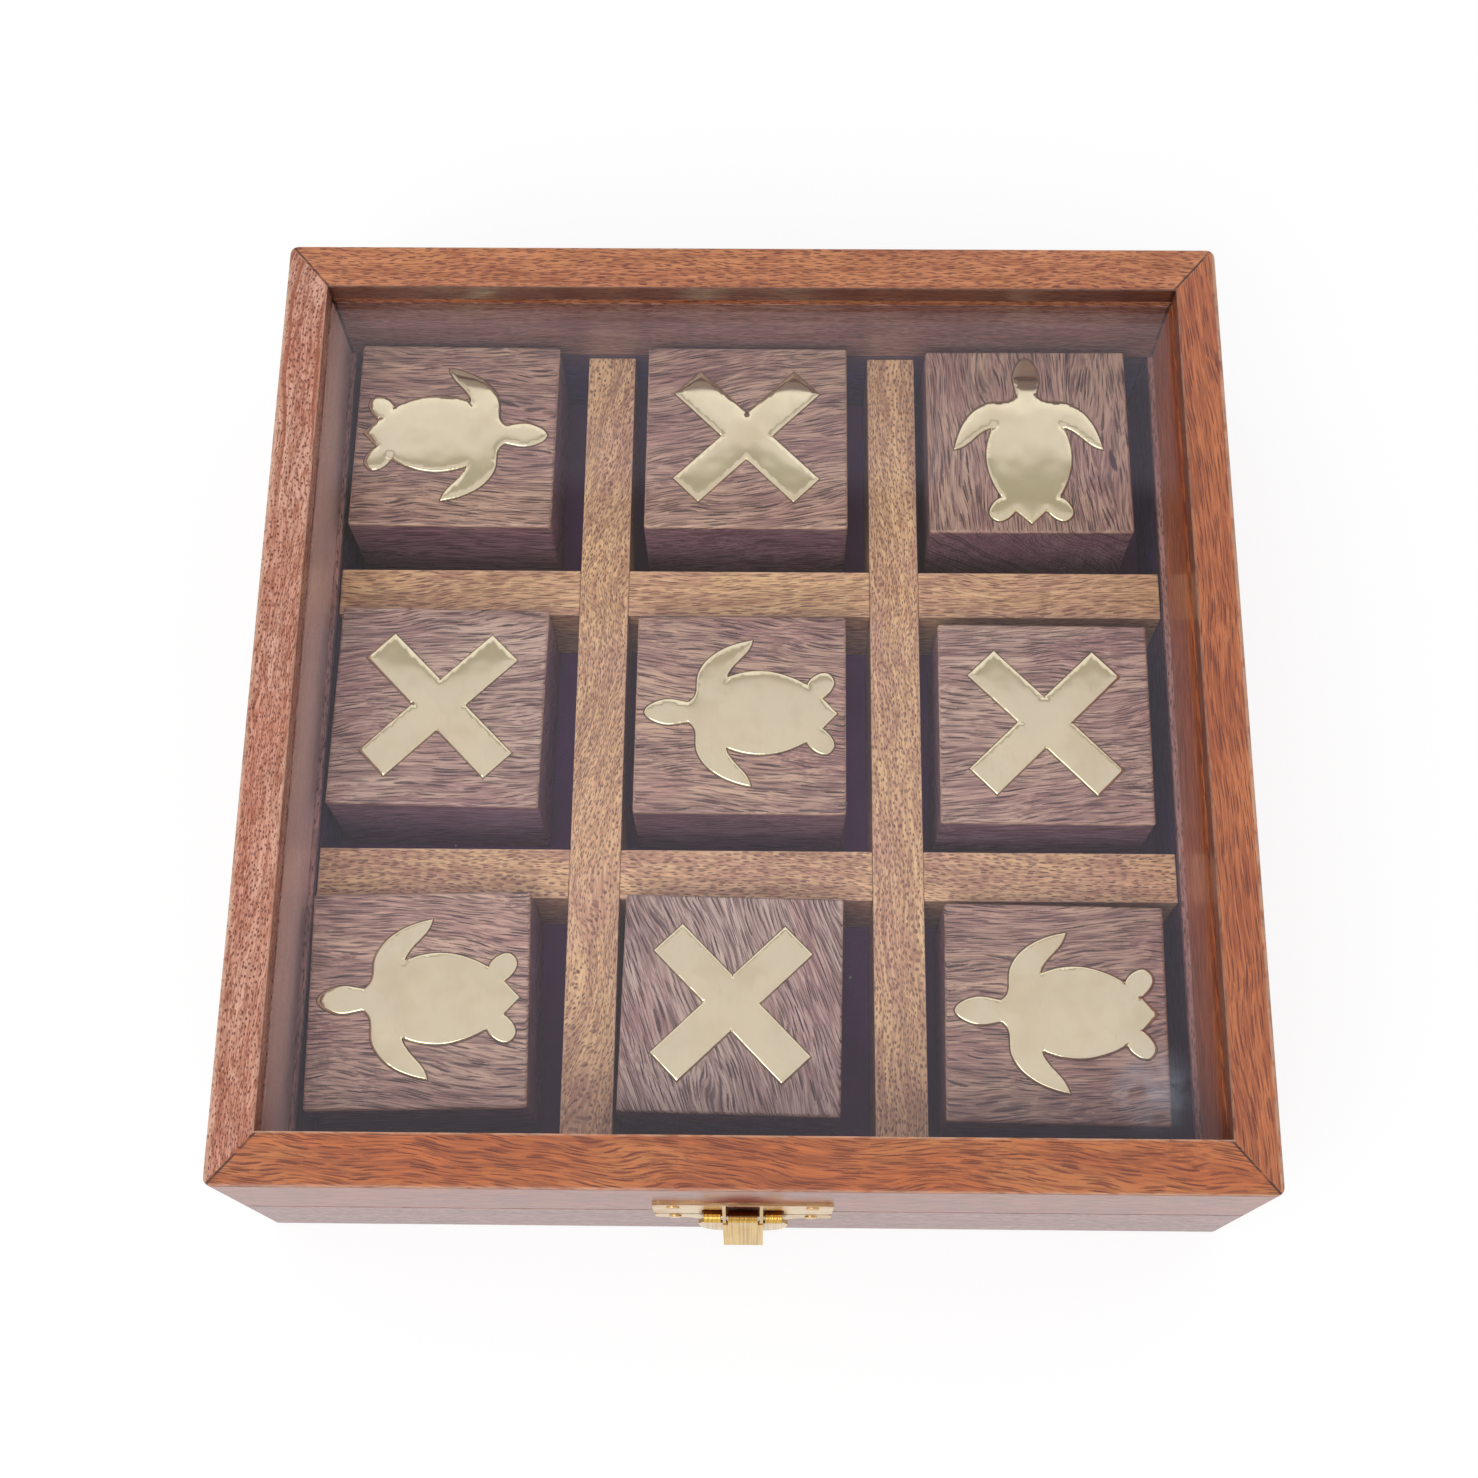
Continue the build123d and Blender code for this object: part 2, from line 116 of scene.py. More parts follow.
class WoodLook(bpy.types.PropertyGroup):
    """Colours of the oiled wood."""
    case_pale: colour("Case, pale grain", "Early wood of the case walls", (0.54, 0.29, 0.23))
    case_deep: colour("Case, deep grain", "Late wood of the case walls", (0.30, 0.13, 0.10))
    case_blush: colour("Case, patches", "Large patches on the case walls", (0.47, 0.24, 0.19))
    case_pore: colour("Case, pores", "Pores of the case walls", (0.16, 0.07, 0.06))
    lid_pale: colour("Lid, pale grain", "Early wood of the lid rails", (0.54, 0.150, 0.042))
    lid_deep: colour("Lid, deep grain", "Late wood of the lid rails", (0.33, 0.085, 0.030))
    lid_pore: colour("Lid, pores", "Pores of the lid rails", (0.17, 0.035, 0.018))
    slat_pale: colour("Slats, pale grain", "Early wood of the crossed slats", (0.90, 0.56, 0.275))
    slat_deep: colour("Slats, deep grain", "Late wood of the crossed slats", (0.46, 0.23, 0.13))
    slat_blush: colour("Slats, patches", "Large patches on the crossed slats", (0.66, 0.34, 0.225))
    slat_pore: colour("Slats, pores", "Pores of the crossed slats", (0.24, 0.10, 0.065))
    block_pale: colour("Blocks, pale grain", "Early wood of the playing blocks", (0.68, 0.44, 0.29))
    block_deep: colour("Blocks, deep grain", "Late wood of the playing blocks", (0.20, 0.095, 0.085))
    block_blush: colour("Blocks, patches", "Large patches on the playing blocks", (0.38, 0.19, 0.16))
    block_pore: colour("Blocks, pores", "Streaks of pores on the playing blocks", (0.055, 0.022, 0.020))
    board: colour("Board", "Thin board under the case", (0.42, 0.27, 0.16))
    glue: colour("Glue line", "Dark line of the mitred joints", (0.05, 0.015, 0.010))
    worn: colour("Worn edge", "Pale wood where an edge is rubbed", (0.74, 0.48, 0.32))
    # Painted glass haze: a pale bloom on the inner face of the left rail under the glass
    painted_glass_haze: colour("Dust", "Dusty bloom on the inside of the left rail", (0.92, 0.73, 0.70))
    # Painted bluish shade on the sides of the blocks
    side: colour("Block sides", "Stain on the sides of the blocks", (0.58, 0.50, 0.86))
    # Painted shade on the outer faces of case and lid, under the coat's sheen
    painted_outer_shade: colour("Outside", "Stain on the outer faces of case and lid", (0.60, 0.43, 0.42))
    # Darkens the inner faces of the case walls to navy
    inside: colour("Inside", "Stain on the inner faces of the case", (0.19, 0.165, 0.32))
    roughness: amount("Roughness", "Roughness of the oiled surface", 0.46)


class MetalLook(bpy.types.PropertyGroup):
    """Colours of the brass and steel."""
    emblem: colour("Emblems", "Pale polished brass of the turtles and crosses", (0.95, 0.88, 0.56))
    latch: colour("Latch", "Brass plating of the latch plates", (0.74, 0.53, 0.28))
    flap: colour("Latch flap", "Brighter brass of the latch's flap", (0.74, 0.48, 0.12))
    hinge: colour("Hinges", "Plain brass of the hinges and their screws", (0.72, 0.55, 0.28))
    steel: colour("Pins", "Drawn wire of the pins", (0.52, 0.49, 0.45))
    emblem_roughness: amount("Emblem roughness", "Polish of the emblems", 0.07)
    rim: size("Rim", "Width of the rounded rim of an emblem", 0.36 * MM)
    rim_drop: size("Rim drop", "How far the rounded rim falls", 0.26 * MM)
    crown: size("Crown", "How far the middle of an emblem rises above its rim", 0.025 * MM)
    dome: size("Dome", "Radius of the slight dome over a whole emblem", 0.65)
    crown_reach: size("Crown reach", "Distance from the rim over which an emblem rises", 2.0 * MM)


class SoftLook(bpy.types.PropertyGroup):
    """Velvet under the blocks."""
    velvet: colour("Velvet", "Dark pile of the lining", (0.130, 0.055, 0.160))
    sheen: colour("Velvet sheen", "Light that the pile's tips catch", (0.42, 0.27, 0.46))
    ripple: size("Ripple", "How far the laid velvet rises between the blocks", 0.18 * MM)


class GlassLook(bpy.types.PropertyGroup):
    """Pane in the lid."""
    tint: colour("Tint", "Colour of the clear pane", (0.97, 0.98, 1.0))


class StageLook(bpy.types.PropertyGroup):
    """Floor, surround and lamps."""
    floor: colour("Floor", "Pale floor", (0.94, 0.94, 0.95))
    surround: amount("Surround", "Strength of the soft light from all round", 0.70, 5.0)
    ceiling: colour("Ceiling", "What polished metal and glass show of the room above", (0.73, 0.655, 0.72))
    ceiling_dark: colour("Ceiling, dark band", "Darker band across what they show", (0.42, 0.375, 0.335))
    ceiling_bright: colour("Ceiling, far end", "Brighter end of what they show", (1.0, 0.93, 1.0))
    key_power: bpy.props.FloatProperty(
        name="Key lamp", description="Power of the large soft lamp in front",
        unit="POWER", min=0.0, default=1.6)


LOOKS = {"wood": WoodLook, "metal": MetalLook, "soft": SoftLook, "glass": GlassLook, "stage": StageLook}


def look(group):
    """The settings group of this scene."""
    return getattr(bpy.context.scene, "game_box_" + group)


# Node trees

class Graph:
    """A material's node tree, built by short calls."""

    def __init__(self, name, **surface):
        self.material = bpy.data.materials.new(name)
        self.material.use_nodes = True
        tree = self.material.node_tree
        self.nodes = tree.nodes
        self.links = tree.links
        self.shader = self.nodes["Principled BSDF"]
        self.set(**surface)
        self.place = self.add("ShaderNodeTexCoord").outputs["Object"]

    def set(self, **surface):
        """Sets or links sockets of the surface shader; an underscore stands for a space."""
        self.fill(self.shader, {key.replace("_", " "): value for key, value in surface.items()})

    def fill(self, node, sockets):
        """Sets or links a node's sockets; None leaves one as it is."""
        for key, value in sockets.items():
            if isinstance(value, bpy.types.NodeSocket):
                self.links.new(value, node.inputs[key])
            elif value is not None:
                node.inputs[key].default_value = value

    def add(self, kind, sockets=None, **settings):
        """A new node with these settings and sockets."""
        node = self.nodes.new(kind)
        for key, value in settings.items():
            setattr(node, key, value)
        self.fill(node, sockets or {})
        return node

    def stretch(self, vector, scale=(1, 1, 1), turn=(0, 0, 0), shift=(0, 0, 0)):
        """A vector scaled, turned and moved."""
        sockets = {"Vector": vector, "Scale": scale, "Rotation": turn, "Location": shift}
        return self.add("ShaderNodeMapping", sockets).outputs["Vector"]

    def noise(self, vector, scale=1.0, detail=2.0, roughness=0.5, output="Fac"):
        """Cloudy noise, about one half on the whole."""
        sockets = {"Vector": vector, "Scale": scale, "Detail": detail, "Roughness": roughness}
        return self.add("ShaderNodeTexNoise", sockets).outputs[output]

    def math(self, operation, first, second=None, third=None):
        """Sum, product or other result of plain numbers."""
        sockets = {0: first, 1: second, 2: third}
        return self.add("ShaderNodeMath", sockets, operation=operation).outputs[0]

    def vector(self, operation, first, second=None, third=None, output="Vector"):
        """Sum, product, distance or other result of vectors."""
        sockets = {0: first, 1: second, 2: third}
        return self.add("ShaderNodeVectorMath", sockets, operation=operation).outputs[output]

    def step(self, value, low, high, to_low=0.0, to_high=1.0):
        """A soft step from to_low at low to to_high at high."""
        sockets = {"Value": value, "From Min": low, "From Max": high, "To Min": to_low, "To Max": to_high}
        return self.add("ShaderNodeMapRange", sockets, interpolation_type="SMOOTHSTEP").outputs["Result"]

    def mix(self, share, first, second, blend="MIX"):
        """The first colour, with a share of the second over it."""
        node = self.add("ShaderNodeMix", data_type="RGBA", blend_type=blend)
        self.fill(node, {0: share, 6: first, 7: second})
        return node.outputs[2]

    def split(self, vector):
        """Sockets of the three parts of a vector or a colour."""
        return self.add("ShaderNodeSeparateXYZ", {0: vector}).outputs

    def bump(self, height, distance, strength=1.0, normal=None):
        """Normals of a surface raised by a height, over those of another bump if given."""
        sockets = {"Height": height, "Distance": distance, "Strength": strength, "Normal": normal}
        return self.add("ShaderNodeBump", sockets).outputs["Normal"]


def rgba(value, factor=1.0):
    """A node colour from a settings colour, made lighter or darker by a factor."""
    return (*(min(1.0, channel * factor) for channel in value), 1.0)


def blended(first, second, share):
    """A colour that lies between two colours."""
    return tuple(a + (b - a) * share for a, b in zip(first, second))


def finish_nodes(names, material):
    """Gives the CAD nodes of these names one material."""
    for name in names:
        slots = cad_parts[name].data.materials
        slots.clear()
        slots.append(material)


# Wood

def wood(name, grain, tones, seed, slant=0.0, wave=1.0, dash=(4.0, 0.45), pores=0.22, figure=0.35,
         fine=(0.28, 3.4)):
    """Oiled open-pore wood, as a graph whose colour can be worked on before close_wood ends it.

    grain is the axis that the fibres follow, and slant tilts them in degrees.
    tones are the colours of the pale grain, the deep grain, the large patches and the pores.
    wave is how far the fibres wander.
    dash is the spacing of the pores along and across the grain in millimetres, and pores is their size.
    figure is how dark the growth rings stand out.
    fine is how many thin threads lie in a millimetre along and across the grain.
    """
    pale, deep, blush, pore_tone = tones
    g = Graph(name, Specular_IOR_Level=0.45, Coat_Weight=0.50, Coat_Roughness=0.20)
    turned = math.radians({"x": 0.0, "y": -90.0}[grain] + slant)
    shift = (37.0 * seed, 61.0 * seed, 23.0 * seed)
    straight = g.stretch(g.place, (1 / MM,) * 3, (0.0, 0.0, turned), shift)
    drift = g.noise(g.stretch(straight, DRIFT), detail=2.0, output="Color")
    drift = g.vector("SUBTRACT", drift, (0.5, 0.5, 0.5))
    fibres = g.vector("MULTIPLY_ADD", drift, (0.0, 7.0 * wave, 7.0 * wave), straight)

    rings = g.noise(g.stretch(fibres, RINGS), detail=3.0, roughness=0.6)
    patches = g.noise(g.stretch(fibres, PATCHES), detail=2.0)
    streaks = g.noise(g.stretch(fibres, STREAKS), detail=2.0)
    threads = g.noise(g.stretch(fibres, (fine[0], fine[1], fine[1])), detail=2.0, roughness=0.65)
    growth = g.noise(g.stretch(fibres, GROWTH), detail=1.0)
    growth = g.math("FRACT", g.math("MULTIPLY", growth, 9.0))
    tone = g.mix(g.step(rings, 0.36, 0.62), rgba(blended(deep, pale, 0.45)), rgba(pale))
    tone = g.mix(g.step(patches, 0.42, 0.66, 0.0, 0.75), tone, rgba(blush))
    tone = g.mix(g.math("MULTIPLY", g.step(growth, 0.55, 0.97), figure), tone, rgba(deep))
    tone = g.mix(g.step(streaks, 0.36, 0.50, 0.40, 0.0), tone, rgba(deep))
    tone = g.mix(g.step(streaks, 0.52, 0.66, 0.0, 0.35), tone, rgba(pale, 1.25))
    tone = g.mix(g.step(threads, 0.40, 0.48, 0.70, 0.0), tone, rgba(deep))
    tone = g.mix(g.step(threads, 0.52, 0.64, 0.0, 0.45), tone, rgba(pale, 1.3))

    along, across = dash
    ragged = g.noise(g.stretch(fibres, RAGGED), detail=1.0)
    length, breadth, depth = g.split(fibres)
    breadth = g.math("ADD", breadth, depth)
    sockets = {0: g.math("DIVIDE", length, along), 1: g.math("DIVIDE", breadth, across)}
    flat = g.add("ShaderNodeCombineXYZ", sockets)
    spots = g.add("ShaderNodeTexVoronoi", {"Vector": flat.outputs[0], "Scale": 1.0}, voronoi_dimensions="2D")
    chance, darkness, _ = g.split(spots.outputs["Color"])
    reach = g.math("MULTIPLY_ADD", chance, 0.6 * pores, g.step(rings, 0.36, 0.62, 0.8 * pores, 0.5 * pores))
    reach = g.math("MULTIPLY_ADD", ragged, pores, reach)
    pore = g.step(g.math("SUBTRACT", spots.outputs["Distance"], reach), -0.5 * pores, 0.2 * pores, 1.0, 0.0)
    pore = g.math("MULTIPLY", pore, g.math("MULTIPLY_ADD", darkness, 0.5, 0.5))
    g.tone = g.mix(pore, tone, rgba(pore_tone))

    rough = look("wood").roughness
    g.set(Roughness=g.step(threads, 0.3, 0.7, rough + 0.12, rough - 0.04))
    relief = g.math("MULTIPLY_ADD", pore, -1.0, g.math("MULTIPLY", threads, 0.6))
    g.set(Normal=g.bump(relief, 0.06 * MM, 0.9))
    g.growth = growth
    g.broken = g.step(g.noise(straight, 0.45), 0.30, 0.55, 0.2, 1.0)
    return g


def glue_line(g, corner, run):
    """Dark line of a mitred joint that starts at the outer corner and follows the run inwards."""
    aside_of = Vector((run.y, -run.x)).normalized()
    x, y, _ = g.split(g.place)
    aside = g.math("MULTIPLY", g.math("SUBTRACT", g.math("ABSOLUTE", x), corner.x), aside_of.x)
    ahead = g.math("SUBTRACT", g.math("ABSOLUTE", y), corner.y)
    apart = g.math("ABSOLUTE", g.math("MULTIPLY_ADD", ahead, aside_of.y, aside))
    glue = g.step(apart, 0.10 * MM, 0.24 * MM, 0.9, 0.0)
    g.tone = g.mix(g.math("MULTIPLY", glue, g.broken), g.tone, rgba(look("wood").glue))


def near_plane(g, axis, centre, half, width):
    """One where a place lies on either of two planes that stand half away from a centre, zero off them."""
    apart = g.math("SUBTRACT", g.math("ABSOLUTE", g.math("SUBTRACT", g.split(g.place)[axis], centre)), half)
    return g.step(g.math("ABSOLUTE", apart), 0.3 * width, width, 1.0, 0.0)


def worn_edges(g, top, planes, share=0.5):
    """Pale rubbed line where the top meets the sides that stand on these planes."""
    near = None
    for axis, centre, half in planes:
        plane = near_plane(g, axis, centre, half, 0.40 * MM)
        near = plane if near is None else g.math("MAXIMUM", near, plane)
    near = g.math("MULTIPLY", near, g.step(g.split(g.place)[2], top - 0.5 * MM, top - 0.2 * MM))
    near = g.math("MULTIPLY", g.math("MULTIPLY", near, g.broken), share)
    g.tone = g.mix(near, g.tone, rgba(look("wood").worn))


def stained(g, mask, tint, *more_masks):
    """Tints the wood where every mask is one; a tint above one lightens it."""
    for other in more_masks:
        mask = g.math("MULTIPLY", mask, other)
    g.tone = g.mix(mask, g.tone, (*tint, 1.0), "MULTIPLY")


def close_wood(g, names):
    """Ends the graph and gives it to the CAD nodes of these names."""
    g.set(Base_Color=g.tone)
    finish_nodes(names, g.material)


def soften_edges(names, width):
    """Rubs the sharp edges of these CAD nodes down a little, as sanding does."""
    for name in names:
        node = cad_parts[name]
        node.modifiers.new("joined", "WELD").merge_threshold = 0.001 * MM
        edge = node.modifiers.new("sanded", "BEVEL")
        edge.width = width
        edge.segments = 2
        edge.limit_method = "ANGLE"
        edge.angle_limit = math.radians(50.0)
        edge.harden_normals = False


def mitre_of(front, left):
    """Outer corner and the run from the inner to the outer corner, for a ring of four mitred rails."""
    front_low, front_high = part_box(front)
    left_low, left_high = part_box(left)
    corner = Vector((front_high.x, -front_low.y))
    rail = Vector((left_high.x - left_low.x, front_high.y - front_low.y))
    return corner, rail


class GAMEBOX_OT_case(bpy.types.Operator):
    """Oiled wood on the case walls, dark on their insides, and plain board under them"""
    bl_idname = "game_box.case"
    bl_label = "Case walls and board"

    def execute(self, context):
        tones = look("wood")
        mitre = mitre_of("base_front_wall", "base_left_wall")
        inner = -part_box("base_left_wall")[1].x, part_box("base_back_wall")[0].y
        # Side, axis that its faces look along, how far it leans to the deep tone, and seed
        walls = (
            ("front", 1, 0.0, 3.1),
            ("back", 1, 0.25, 5.7),
            ("left", 0, 0.0, 8.3),
            ("right", 0, 0.15, 11.9),
        )
        for side, axis, darker, seed in walls:
            pale = blended(tones.case_pale, tones.case_deep, darker)
            colours = pale, tones.case_deep, tones.case_blush, tones.case_pore
            g = wood(f"case_wood_{side}", "yx"[axis], colours, seed, wave=0.6, dash=(2.0, 0.45), pores=0.20)
            glue_line(g, *mitre)
            # Painted shade on the outer faces
            stained(g, near_plane(g, axis, 0.0, mitre[0][axis], FACE_BAND), tones.painted_outer_shade)
            within = near_plane(g, axis, 0.0, inner[axis], INNER_BAND)
            # Inner faces darkened to navy, bluer still towards the bottom
            stained(g, within, tones.inside)
            low_down = g.step(g.split(g.place)[2], 13.0 * MM, 24.0 * MM, 1.0, 0.0)
            stained(g, within, LOWER_INSIDE, low_down)
            close_wood(g, [f"base_{side}_wall"])
        colours = tones.board, blended(tones.board, tones.case_deep, 0.35), tones.board, tones.case_pore
        close_wood(wood("thin_board", "x", colours, 14.2, dash=(5.0, 0.6), pores=0.2), ["bottom_board"])
        soften_edges([f"base_{side}_wall" for side, *_ in walls], SANDED)
        return {"FINISHED"}


class GAMEBOX_OT_lid(bpy.types.Operator):
    """Redder oiled wood on the four rails of the lid, each with its own run of grain"""
    bl_idname = "game_box.lid"
    bl_label = "Lid rails"

    def execute(self, context):
        tones = look("wood")
        mitre = mitre_of("lid_front_rail", "lid_left_rail")
        outer = mitre[0]
        inner = -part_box("lid_left_rail")[1].x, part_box("lid_back_rail")[0].y
        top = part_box("lid_left_rail")[1].z
        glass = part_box("glass_pane")[1].z
        pinkish = (0.72, 0.395, 0.285)
        brown = (0.62, 0.24, 0.105)
        tan = (0.56, 0.22, 0.075)
        rosy = (0.56, 0.19, 0.12)
        rusty = (0.38, 0.090, 0.035)
        right = blended(tones.lid_pale, brown, 0.4)
        back = blended(brown, tan, 0.2)
        # Side, axis that its faces look along, pale tone, patches, slant, wave, dash, pores and fine threads
        # as wood takes them, painted shade of the inner face, painted glass haze and shade on it under the
        # glass, and seed
        rails = (
            ("front", 1, tones.lid_pale, tan, 5.0, 1.0, (6.0, 0.34), 0.20, (0.13, 3.3),
             PLAIN, (0.6, 0.6, 0.7), 21.3),
            ("back", 1, back, tan, 0.5, 0.7, (2.4, 0.36), 0.20, (0.2, 3.6),
             (0.27, 0.185, 0.16), (1.75, 3.2, 7.0), 24.8),
            ("left", 0, pinkish, rosy, 4.0, 0.8, (0.95, 0.42), 0.19, (0.4, 3.8),
             (0.78, 0.68, 0.66), (1.45, 1.5, 1.45), 27.1),
            ("right", 0, right, rusty, -3.0, 0.5, (7.0, 0.34), 0.19, (0.09, 3.8),
             (0.60, 0.53, 0.53), (1.75, 1.6, 1.0), 30.6),
        )
        for side, axis, pale, blush, slant, wave, dash, pores, fine, painted_inner_shade, painted_under_glass, seed in rails:
            colours = pale, tones.lid_deep, blush, tones.lid_pore
            g = wood(f"lid_wood_{side}", "yx"[axis], colours, seed, slant, wave, dash, pores, fine=fine)
            glue_line(g, *mitre)
            worn_edges(g, top, [(axis, 0.0, outer[axis]), (axis, 0.0, inner[axis])])
            height = g.split(g.place)[2]
            under = g.step(height, glass - 0.3 * MM, glass, 1.0, 0.0)
            below = g.step(height, top - 0.4 * MM, top - 0.1 * MM, 1.0, 0.0)
            within = near_plane(g, axis, 0.0, inner[axis], INNER_BAND)
            if side == "left":
                self.painted_haze_and_figure(g, within, under)
            if side == "front":
                self.painted_latch_reflection(g, below)
            # Painted shade on the outer face below the top
            stained(g, near_plane(g, axis, 0.0, outer[axis], FACE_BAND), tones.painted_outer_shade, below)
            # Painted shade on the inner face, then painted glass haze and shade on it under the glass
            stained(g, within, painted_inner_shade)
            stained(g, within, painted_under_glass, under)
            close_wood(g, [f"lid_{side}_rail"])
        soften_edges([f"lid_{side}_rail" for side, *_ in rails], SANDED)
        return {"FINISHED"}

    def painted_haze_and_figure(self, g, within, under):
        """Painted glass haze on the inner face under the glass, and growth rings that stand out towards the
        back.
        """
        tones = look("wood")
        painted_glass_haze = g.math("MULTIPLY", g.math("MULTIPLY", within, under), 0.65)
        g.tone = g.mix(painted_glass_haze, g.tone, rgba(tones.painted_glass_haze))
        rear = g.step(g.split(g.place)[1], 15.0 * MM, 45.0 * MM, 0.0, 0.8)
        lines = g.math("MULTIPLY", g.step(g.growth, 0.62, 0.92), rear)
        lines = g.math("MULTIPLY", lines, g.math("SUBTRACT", 1.0, within))
        g.tone = g.mix(lines, g.tone, rgba(tones.lid_deep))

    def painted_latch_reflection(self, g, below):
        """Painted dark reflection of the latch on the rail above it, with the coat dulled there."""
        apart = g.vector("DISTANCE", g.stretch(g.place, (1.8, 0.0, 1.0)), LATCH_REFLECTION_MIDDLE, output="Value")
        spot = g.math("MULTIPLY", g.step(apart, 3.0 * MM, 12.0 * MM, 1.0, 0.0), below)
        # Painted dark reflection of the latch, and a duller coat where it lies
        stained(g, spot, LATCH_REFLECTION)
        g.set(Coat_Weight=g.math("MULTIPLY_ADD", spot, -0.5, 0.5))
        g.set(Roughness=g.math("MULTIPLY_ADD", spot, 0.5, look("wood").roughness))


class GAMEBOX_OT_slats(bpy.types.Operator):
    """Paler wood on the four crossed slats"""
    bl_idname = "game_box.slats"
    bl_label = "Crossed slats"

    def execute(self, context):
        tones = look("wood")
        colours = tones.slat_pale, tones.slat_deep, tones.slat_blush, tones.slat_pore
        # Name, then grain, slant, wave, dash, pores and seed as wood takes them
        slats = (
            ("left_long_slat", "y", 10.0, 1.5, (1.1, 0.37), 0.21, 41.2),
            ("right_long_slat", "y", -3.0, 0.9, (1.1, 0.37), 0.21, 44.9),
            ("front_cross_slat", "x", 1.5, 0.7, (1.8, 0.34), 0.21, 47.5),
            ("back_cross_slat", "x", -1.0, 0.8, (4.0, 0.38), 0.19, 50.3),
        )
        for name, grain, slant, wave, dash, pores, seed in slats:
            low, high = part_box(name)
            axis = "yx".index(grain)
            g = wood(name + "_wood", grain, colours, seed, slant, wave, dash, pores)
            middle, half = (low + high) / 2, (high - low) / 2
            worn_edges(g, high.z, [(axis, middle[axis], half[axis])], 0.35)
            close_wood(g, [name])
        soften_edges([name for name, *_ in slats], SANDED_SLAT)
        return {"FINISHED"}


class GAMEBOX_OT_blocks(bpy.types.Operator):
    """Dark streaky wood on the nine playing blocks, rubbed pale round their tops, with painted bluish shade
    down their sides
    """
    bl_idname = "game_box.blocks"
    bl_label = "Playing blocks"

    def execute(self, context):
        tones = look("wood")
        grey = (0.50, 0.38, 0.31)
        # Slant of the grain, how grey and how light, for each block from back left to front right
        looks = (
            (2.0, 0.0, 0.88), (-9.0, 0.1, 0.88), (88.0, 0.1, 0.80), (-5.0, 0.5, 0.98), (4.0, 0.05, 0.86),
            (-4.0, 0.4, 0.98), (3.0, 0.3, 1.02), (70.0, 0.9, 1.12), (-2.0, 0.1, 0.80),
        )
        for count, (slant, greyer, lighter) in enumerate(looks):
            name = f"block_{ROWS[count // 3]}_{COLUMNS[count % 3]}"
            low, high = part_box(name)
            middle, half = (low + high) / 2, (high - low) / 2
            pale = rgba(blended(tones.block_pale, grey, greyer), lighter)[:3]
            colours = pale, tones.block_deep, tones.block_blush, tones.block_pore
            seed = 60.0 + 3.7 * count
            g = wood(name + "_wood", "x", colours, seed, slant, 1.0, (7.0, 0.40), 0.20, 0.25, (0.13, 3.8))
            worn_edges(g, high.z, [(0, middle.x, half.x), (1, middle.y, half.y)], 0.4)
            below = g.step(g.split(g.place)[2], high.z - 1.0 * MM, high.z - 0.3 * MM, 1.0, 0.0)
            # Painted bluish shade on the sides below the top
            stained(g, below, tones.side)
            close_wood(g, [name])
        return {"FINISHED"}


# Metal

def metal(name, tone, roughness, streak=(1.0, 1.0, 1.0), depth=0.004 * MM, tarnish=0.10, wave=0.0,
          ridges=None, lined=0.6, shaded=None):
    """Metal with fine scratches, slight clouds of tarnish and a wavy surface.

    streak stretches the scratches, depth is theirs and wave is that of the waves.
    ridges stretches a coarser pattern of drawn lines, and lined is how dark they are.
    shaded is the span of depth over which the middle of the metal turns dark towards the case.
    """
    g = Graph(name, Metallic=1.0)
    clouds = g.noise(g.place, 160.0, 3.0)
    dull = (tone[0] * 0.66, tone[1] * 0.55, tone[2] * 0.38, 1.0)
    shown = g.mix(g.step(clouds, 0.4, 0.75, 0.0, tarnish), rgba(tone), dull)
    scratches = g.noise(g.stretch(g.place, streak), 1 / MM, 3.0, 0.6)
    shown = g.mix(g.step(scratches, 0.55, 0.75, 0.0, 0.12), shown, rgba(tone, 0.6))
    normal = g.bump(g.noise(g.place, 0.16 / MM, 1.0), wave) if wave else None
    if ridges:
        lines = g.noise(g.stretch(g.place, ridges), 1 / MM, 1.0)
        dark = (tone[0] * 0.42, tone[1] * 0.32, tone[2] * 0.18, 1.0)
        shown = g.mix(g.step(lines, 0.42, 0.66, 0.0, lined), shown, dark)
        normal = g.bump(lines, 0.05 * MM, 1.0, normal)
    if shaded:
        x, y, _ = g.split(g.place)
        between = g.step(g.math("ABSOLUTE", x), 3.1 * MM, 3.5 * MM, 0.85, 0.05)
        shown = g.mix(g.math("MULTIPLY", g.step(y, *shaded), between), shown, rgba((0.16, 0.07, 0.03)))
    g.set(Base_Color=shown, Roughness=g.step(clouds, 0.35, 0.8, roughness, roughness * 1.6))
    g.set(Normal=g.bump(scratches, depth, 0.6, normal))
    return g.material


def outline_of(node):
    """Corners of a flat node's outline, in order, from the foot of its CAD solid."""
    shape = bmesh.new()
    shape.from_mesh(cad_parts[node].data)
    bmesh.ops.remove_doubles(shape, verts=shape.verts, dist=0.002 * MM)
    foot = min(vertex.co.z for vertex in shape.verts) + 0.01 * MM
    under = {face for face in shape.faces if max(vertex.co.z for vertex in face.verts) < foot}
    rim = [edge for edge in shape.edges if sum(face in under for face in edge.link_faces) == 1]
    next_of = {}
    for edge in rim:
        face = next(face for face in edge.link_faces if face in under)
        loop = next(loop for loop in face.loops if loop.edge == edge)
        next_of[loop.link_loop_next.vert] = loop.vert
    first = vertex = next(iter(next_of))
    corners = []
    while True:
        corners.append(vertex.co.xy)
        vertex = next_of[vertex]
        if vertex == first:
            break
    shape.free()
    return corners


def depth_inside(point, corners):
    """Distance from a point to the outline, below zero outside it."""
    nearest, inside = 1.0, False
    for a, b in zip(corners, corners[1:] + corners[:1]):
        run = b - a
        share = max(0.0, min(1.0, (point - a).dot(run) / run.length_squared))
        nearest = min(nearest, (point - a - run * share).length)
        if (a.y > point.y) != (b.y > point.y) and point.x < a.x + (point.y - a.y) / run.y * run.x:
            inside = not inside
    return nearest if inside else -nearest


